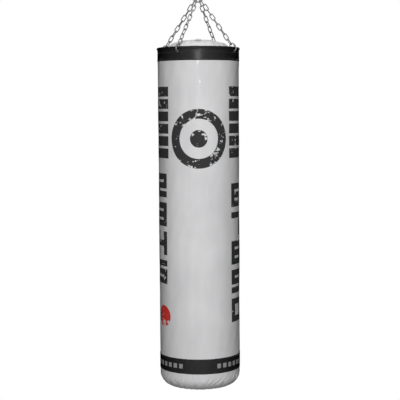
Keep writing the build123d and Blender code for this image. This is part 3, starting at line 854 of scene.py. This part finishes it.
def filling_shape(angle, r, z, side):
    """Lumps of rag that stay inside the wall, and a sunken dome."""
    rag = 0.5 * MM * narrow(angle, z) + 0.4 * MM * broad(angle, 2 * z)
    sunk = sag(angle, r) * ease(z, brim_low_z, brim_low_z + 0.004)
    return np.clip(rag, -1.2 * MM, 0.2 * MM) * ease(r, 0.004, 0.03) - sunk


outline = filling_outline()
section = (outline, directions(outline)[1], np.ones(len(outline)))
filling = turned("filling", section, filling_shape, count=180, poles=True)
filling = keep("packed_filling", filling, material=rag_filling)
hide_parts("filling_core")


# Hem band over the hoop, and the stripe around the foot


def band_path():
    """Middle of the band's cloth: up the outside of the wall, over the hoop and down the inside."""
    bend = HOOP_WIRE_R + GAP + BAND_THICK / 2
    leg = SHELL_THICK / 2 + GAP + BAND_THICK / 2
    pinch = math.degrees(math.acos(leg / bend))
    pinch_z = hoop_z - bend * math.sin(math.radians(pinch))
    low, inside_low = band_low_z + BAND_THICK / 2, rim_z - BAND_INSIDE + BAND_THICK / 2
    path = run((hoop_r + leg, low), (hoop_r + leg, pinch_z), 2.5 * MM)
    path += arc((hoop_r, hoop_z), bend, -pinch, 180 + pinch, 0.8 * MM)
    path += run((hoop_r - leg, pinch_z), (hoop_r - leg, inside_low), 2.5 * MM)
    return path + [np.array([hoop_r - leg, inside_low])]


def band_shape(angle, r, z, side):
    """The band follows the wall below the hem, and is a little uneven over the hoop."""
    outer_leg = ease(r, hoop_r - 0.0005, hoop_r + 0.0005)
    facing = -side
    over = ease(z, hoop_z - 0.012, hoop_z - 0.002)
    uneven = 0.32 * MM * (1 + rim_wave(angle, z)).clip(0, 2)
    return facing * outer_leg * lump(angle, z) + np.clip(facing, 0, 1) * over * uneven


band = drilled(turned("band", ribbon(band_path(), BAND_THICK), band_shape))
band = keep("hem_band", band, material=black)
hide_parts("top_band")


def stripe_path():
    """Middle of the stripe's cloth, from its lower edge up."""
    half = STRIPE_THICK / 2
    middle, end = stripe_r - half, stripe_high_z - half
    return run((middle, stripe_low_z + half), (middle, end), 3 * MM) + [np.array([middle, end])]


def stripe_shape(angle, r, z, side):
    return -side * lump(angle, z)


foot_stripe = turned("foot_stripe", ribbon(stripe_path(), STRIPE_THICK), stripe_shape)
foot_stripe = keep("foot_stripe", foot_stripe, material=black_marked)
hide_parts("lower_stripe")


# Bottom panel


PANEL_THICK = panel_high_z - panel_low_z


def panel_path():
    """Middle of the panel's cloth, from the axis out."""
    middle_z, end_r = (panel_low_z + panel_high_z) / 2, panel_r - PANEL_THICK / 2
    return run((AXIS_R, middle_z), (end_r, middle_z), 3 * MM) + [np.array([end_r, middle_z])]


def panel_shape(angle, r, z, side):
    """The underside hangs a little in the middle."""
    under = np.clip(-side, 0, 1)
    hang = 1.3 * MM * (1 - ease(r, 0.03, 0.104)) + 0.25 * MM * narrow(angle, 3 * r) * ease(r, 0.01, 0.05)
    return under * hang * (1 - ease(r, 0.100, 0.106))


panel = turned("base_panel", ribbon_from_axis(panel_path(), PANEL_THICK), panel_shape, count=240, poles=True)
panel = keep("base_panel", panel, material=silver_plain)
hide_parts("bottom_panel")


# Domed cover

CROWN_SWELL, PUCKERS, PUCKER_HIGH, SEAM_DEEP, SEAM_WIDE = 1.3 * MM, 23, 3.6 * MM, 0.7 * MM, 0.0022


def dome_path():
    """Middle of the cover's cloth: crown, shoulder, and the brim turned out under the band."""
    half = COVER_THICK / 2
    brim_z = brim_low_z + half
    path, edge_z = dome_arcs(half)
    bend = 3 * MM
    path += run((COVER_R - half, edge_z), (COVER_R - half, brim_z + bend), 1.5 * MM)
    path += arc((COVER_R - half + bend, brim_z + bend), bend, 180, 270, 0.7 * MM)
    path += run((COVER_R - half + bend, brim_z), (brim_r - half, brim_z), 2 * MM)
    return path + [np.array([brim_r - half, brim_z])]


def dome_shape(angle, r, z, side):
    """Soft swells on the crown, and puckers over the shoulder and down to the brim."""
    outer = np.clip(side, 0, 1)
    clear_of_zip = ease(np.abs(r * np.sin(angle)), 0.015, 0.045)
    swell = CROWN_SWELL * dome_broad(angle, 18 * r) * ease(r, 0.02, 0.08) * clear_of_zip
    pucker = np.abs(np.sin(PUCKERS / 2 * (angle + 0.12 * dome_depth(angle, 0.0)))) ** 0.75
    high = PUCKER_HIGH * np.clip(0.7 + 0.5 * dome_depth(2 * angle, 0.0), 0.15, 1.2)
    over = ease(r, 0.085, 0.128) * ease(z, brim_low_z + 0.003, brim_low_z + 0.022)
    seam = -SEAM_DEEP * np.exp(-(((r - CROWN_EDGE_R) / SEAM_WIDE) ** 2))
    seam = seam * ease(z, crown_z - 0.02, crown_z - 0.016)
    sunk = sag(angle, r) * ease(z, brim_low_z + 0.004, brim_low_z + 0.010)
    return outer * (swell * (1 - 0.5 * over) + over * high * pucker * clear_of_zip + seam) - side * sunk


dome = turned("dome_cover", ribbon_from_axis(dome_path(), COVER_THICK), dome_shape, count=360, poles=True)
dome = keep("dome_cover", dome, material=cover)
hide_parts("top_cover")


# Zip: woven tape and two rows of teeth

TAPE_POINTS, TAPE_STEPS, TAPE_EDGE, TAPE_RIPPLE = 27, 150, 0.8 * MM, 0.12 * MM
TOOTH_SIZE, TOOTH_ROUND, TOOTH_PITCH = (4.1 * MM, 1.25 * MM, 1.3 * MM), 0.32 * MM, 1.6 * MM


def crown_place(x, along, height):
    """Point on the crown: x across the zip, along it towards the front, and height over the crown."""
    turn = along / CROWN_R
    r = CROWN_R + height
    return Vector((x, -r * math.sin(turn), crown_z - CROWN_R + r * math.cos(turn)))


def tape_mesh():
    """The tape lies on the crown, with thinner edges that ripple a little."""
    half = TAPE_WIDE / 2
    reach = math.asin(zip_half / CROWN_R) * CROWN_R
    across = np.linspace(-half, half, TAPE_POINTS)
    steps = np.linspace(-reach, reach, TAPE_STEPS)
    points, faces = [], []
    for along in steps:
        for x in across:
            share = min(1.0, (half - abs(x)) / TAPE_EDGE + 0.25)
            ripple = TAPE_RIPPLE * math.sin(along * 260 + 3 * x / half) * (abs(x) / half) ** 2
            points.append(crown_place(x, along, GAP + TAPE_THICK * share + abs(ripple)))
        for x in across[::-1]:
            points.append(crown_place(x, along, GAP))
    ring = 2 * len(across)
    for i in range(len(steps) - 1):
        for k in range(ring):
            a, b = i * ring + k, i * ring + (k + 1) % ring
            faces.append((a, b, b + ring, a + ring))
    faces.append(list(range(ring)))
    faces.append([(len(steps) - 1) * ring + k for k in range(ring)])
    return mesh_of("zip_tape", points, faces)


def tooth(along, lean):
    """One moulded tooth: a rounded block that reaches over the middle from its own side."""
    work = bmesh.new()
    bmesh.ops.create_cube(work, size=1)
    bmesh.ops.scale(work, vec=TOOTH_SIZE, verts=work.verts)
    bmesh.ops.bevel(work, geom=work.edges[:], offset=TOOTH_ROUND, segments=2, affect="EDGES")
    middle = crown_place(lean * 0.42 * MM, along, GAP + TAPE_THICK + 0.55 * MM)
    turn = Matrix.Rotation(along / CROWN_R, 4, "X")
    bmesh.ops.transform(work, matrix=Matrix.Translation(middle) @ turn, verts=work.verts)
    mesh = bpy.data.meshes.new("tooth")
    work.to_mesh(mesh)
    work.free()
    return mesh


tape = keep("zip_cloth", tape_mesh(), material=tape_cloth)
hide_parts("zip_tape")
reach = zip_half - 4 * MM
count = int(2 * reach / TOOTH_PITCH)
teeth = [tooth(-reach + (i + 0.5) * TOOTH_PITCH, 1 if i % 2 else -1) for i in range(count)]
keep("zip_teeth", joined("zip_teeth", teeth), material=zip_steel)


# Eyelets with a rolled lip, one at each rim link

EYELET_HOLE_R, EYELET_BARREL_R, EYELET_FLANGE_R, EYELET_TUCK = 5.3 * MM, 5.85 * MM, 7.1 * MM, 0.78 * MM


def eyelet_reach(azimuth):
    """Inner and outer end of an eyelet along its own axis."""
    out = np.array((math.sin(azimuth), -math.cos(azimuth), 0))
    points = np.array([v.co for v in nodes["eyelets"].data.vertices])
    along = points @ out
    along = along[along > hoop_r / 2]
    return float(along.min()), float(along.max())


def eyelet(azimuth):
    """Barrel through the wall, with a lip rolled over at both ends."""
    low, high = (value - hoop_r for value in eyelet_reach(azimuth))
    lip = (EYELET_FLANGE_R - EYELET_HOLE_R) / 2
    first, last, steps = 0.3, math.pi - 0.2, 9

    def roll(z, way, turns):
        return [(EYELET_HOLE_R + lip - lip * math.cos(t), z + way * lip * math.sin(t)) for t in turns]

    points = [(EYELET_HOLE_R, low + lip), (EYELET_HOLE_R, high - lip)]
    points += roll(high - lip, 1, np.linspace(first, last, steps))
    points += [(EYELET_BARREL_R, high - EYELET_TUCK), (EYELET_BARREL_R, low + EYELET_TUCK)]
    points += roll(low + lip, -1, np.linspace(last, first, steps))
    return turned("eyelet", still(points), count=56, place=radial_place(azimuth, hoop_r, eyelet_z))


rolled = joined("rolled_eyelets", [eyelet(a) for a in AZIMUTHS])
rolled = keep("rolled_eyelets", rolled, material=eyelet_steel)
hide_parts("eyelets")


# Stitching

EYELET_CLEAR = 0.056
LAP_ROWS = (0.020, 0.058)
ZIP_ROWS, ZIP_STITCH_PITCH, ZIP_STITCH_LONG = (-10.5 * MM, -7.5 * MM, 7.5 * MM, 10.5 * MM), 3.6 * MM, 2.7 * MM


def near_eyelet(angle):
    return any(abs(math.remainder(angle - a, math.tau)) < EYELET_CLEAR for a in AZIMUTHS)


def sew(name, rows, thread_r, material, length=STITCH_LONG):
    keep(name, stitches(rows, length, thread_r), material=material)


band_face_r = hoop_r + SHELL_THICK / 2 + GAP + BAND_THICK
rows = ring_row(band_low_z + 4 * MM, band_face_r)
rows += ring_row(band_low_z + 9 * MM, band_face_r)
rows += ring_row(rim_z - BAND_INSIDE + 2.2 * MM, band_face_r, miss=near_eyelet)
sew("band_stitches", rows, BLACK_THREAD_R, dark_thread)

rows = ring_row(stripe_low_z + 4 * MM, stripe_r) + ring_row(stripe_high_z - 4 * MM, stripe_r)
sew("stripe_stitches", rows, BLACK_THREAD_R, dark_thread)

rows = []
for offset in LAP_ROWS:
    rows += upright_row(math.pi + offset, stripe_high_z + 1 * MM, band_low_z - 1 * MM, shell_r)
sew("lap_stitches", rows, GREY_THREAD_R, grey_thread)


def flat_ring_row(radius, z):
    """Places of a stitch row on the underside."""
    count = round(math.tau * radius / STITCH_PITCH)
    places = []
    for i in range(count):
        angle = math.tau * (i + 0.5) / count
        x, y = math.sin(angle), math.cos(angle)
        places.append(((radius * x, -radius * y, z), (y, x, 0), (0, 0, -1)))
    return places


rows = flat_ring_row(shell_r - CORNER_R - TURN_IN + 4 * MM, bottom_z)
sew("base_stitches", rows, GREY_THREAD_R, grey_thread)


def tape_rows():
    """Places of the stitch rows along both sides of the zip's tape."""
    reach = zip_half - 3 * MM
    count = int(2 * reach / ZIP_STITCH_PITCH)
    for x in ZIP_ROWS:
        for i in range(count):
            along = -reach + (i + 0.5) * ZIP_STITCH_PITCH
            turn = along / CROWN_R
            point = crown_place(x, along, GAP + TAPE_THICK)
            yield point, (0, -math.cos(turn), -math.sin(turn)), (0, -math.sin(turn), math.cos(turn))


sew("zip_stitches", tape_rows(), ZIP_THREAD_R, grey_thread, length=ZIP_STITCH_LONG)


# Floor, lights and camera

FLOOR_R, FLOOR_DROP, FLOOR_SOLID_R, FLOOR_GONE_R = 1.6, 0.9, 0.5, 1.5
AMBIENT = 0.025
EYE = Vector((0.0, -5.07, rim_z - 0.2645))
LENS, SENSOR = 102.7, 36.0
CAMERA_YAW, CAMERA_DOWN, CAMERA_ROLL = -0.045, 4.6, -0.34


def white_but_dim(ambient):
    """Plain world that lights dimly, yet is white to the camera, in reflections and through glass."""
    world = bpy.data.worlds.new("studio")
    world.use_nodes = True
    air = world.node_tree
    rays = air.nodes.new("ShaderNodeLightPath").outputs
    seen = rays["Is Camera Ray"]
    for kind in ("Is Glossy Ray", "Is Transmission Ray"):
        either = air.nodes.new("ShaderNodeMath")
        either.operation = "MAXIMUM"
        air.links.new(seen, either.inputs[0])
        air.links.new(rays[kind], either.inputs[1])
        seen = either.outputs[0]
    level = air.nodes.new("ShaderNodeMapRange")
    level.inputs[3].default_value, level.inputs[4].default_value = ambient, 1.0
    air.links.new(seen, level.inputs[0])
    back = air.nodes["Background"]
    back.inputs["Color"].default_value = (1, 1, 1, 1)
    air.links.new(level.outputs[0], back.inputs["Strength"])
    return world


def lamp(name, place, aim, wide, high, watts, mirrored=False):
    """Soft box that the camera doesn't see, nor reflections unless it is mirrored."""
    light = bpy.data.lights.new(name, "AREA")
    light.shape, light.size, light.size_y, light.energy = "RECTANGLE", wide, high, watts
    made = bpy.data.objects.new(name, light)
    made.visible_camera = False
    made.visible_glossy = mirrored
    made.location = place
    made.rotation_mode = "QUATERNION"
    made.rotation_quaternion = (Vector(aim) - Vector(place)).to_track_quat("-Z", "Y")
    bpy.context.scene.collection.objects.link(made)


bpy.context.scene.view_settings.view_transform = "Standard"
bpy.context.scene.world = white_but_dim(AMBIENT)

floor_mesh = bpy.data.meshes.new("floor")
work = bmesh.new()
bmesh.ops.create_circle(work, cap_ends=True, segments=96, radius=FLOOR_R)
work.to_mesh(floor_mesh)
work.free()
floor = bpy.data.objects.new("floor", floor_mesh)
floor.location = (0, 0, bottom_z - FLOOR_DROP)
bpy.context.scene.collection.objects.link(floor)
look = Recipe("floor", (0.82, 0.82, 0.82), 0.9, specular=0.1)
tone = look.spread(look.noise(3.0, 3.0), 0.3, 0.7)
look.put("Base Color", look.blend(tone, (0.76, 0.76, 0.76), (0.80, 0.80, 0.80)))
from_middle = look.node("ShaderNodeVectorMath", {0: look.place}, operation="LENGTH").outputs["Value"]
look.put("Alpha", look.spread(from_middle, FLOOR_SOLID_R, FLOOR_GONE_R, 1.0, 0.0))
floor_mesh.materials.append(look.material)

# Strips along the bag's height: name, distance to the right and to the back, raised by, width, length, watts
middle = Vector((0, 0, (rim_z + bottom_z) / 2))
BACK_AWAY, BACK_TURN = 1.7, math.radians(22)
back_x, back_y = BACK_AWAY * math.sin(BACK_TURN), BACK_AWAY * math.cos(BACK_TURN)
for name, x, y, up, wide, high, watts in (
    ("front_strip", 0, -2.2, 0.35, 0.35, 2.1, 18),
    ("back_left", -back_x, back_y, 0.3, 0.3, 2.2, 14),
    ("back_right", back_x, back_y, 0.3, 0.3, 2.2, 14),
):
    aim = middle + Vector((0, 0, up))
    lamp(name, aim + Vector((x, y, 0)), aim, wide, high, watts)
lamp("front_box", EYE + Vector((0, 0, 0.43)), middle, 0.8, 0.8, 120)
lamp("flash", EYE + Vector((0, 0, 0.75)), middle, 0.09, 0.09, 42, mirrored=True)
lamp("overhead", (0, 0, 1.9), (0, 0, rim_z), 0.3, 0.3, 22, mirrored=True)

camera_data = bpy.data.cameras.new("camera")
camera_data.lens, camera_data.sensor_width = LENS, SENSOR
camera = bpy.data.objects.new("camera", camera_data)
camera.location = EYE
yaw, down, roll = (math.radians(value) for value in (CAMERA_YAW, 90 - CAMERA_DOWN, CAMERA_ROLL))
turn = Matrix.Rotation(yaw, 3, "Z") @ Matrix.Rotation(down, 3, "X")
camera.rotation_euler = (turn @ Matrix.Rotation(roll, 3, "Z")).to_euler()
bpy.context.scene.collection.objects.link(camera)
bpy.context.scene.camera = camera
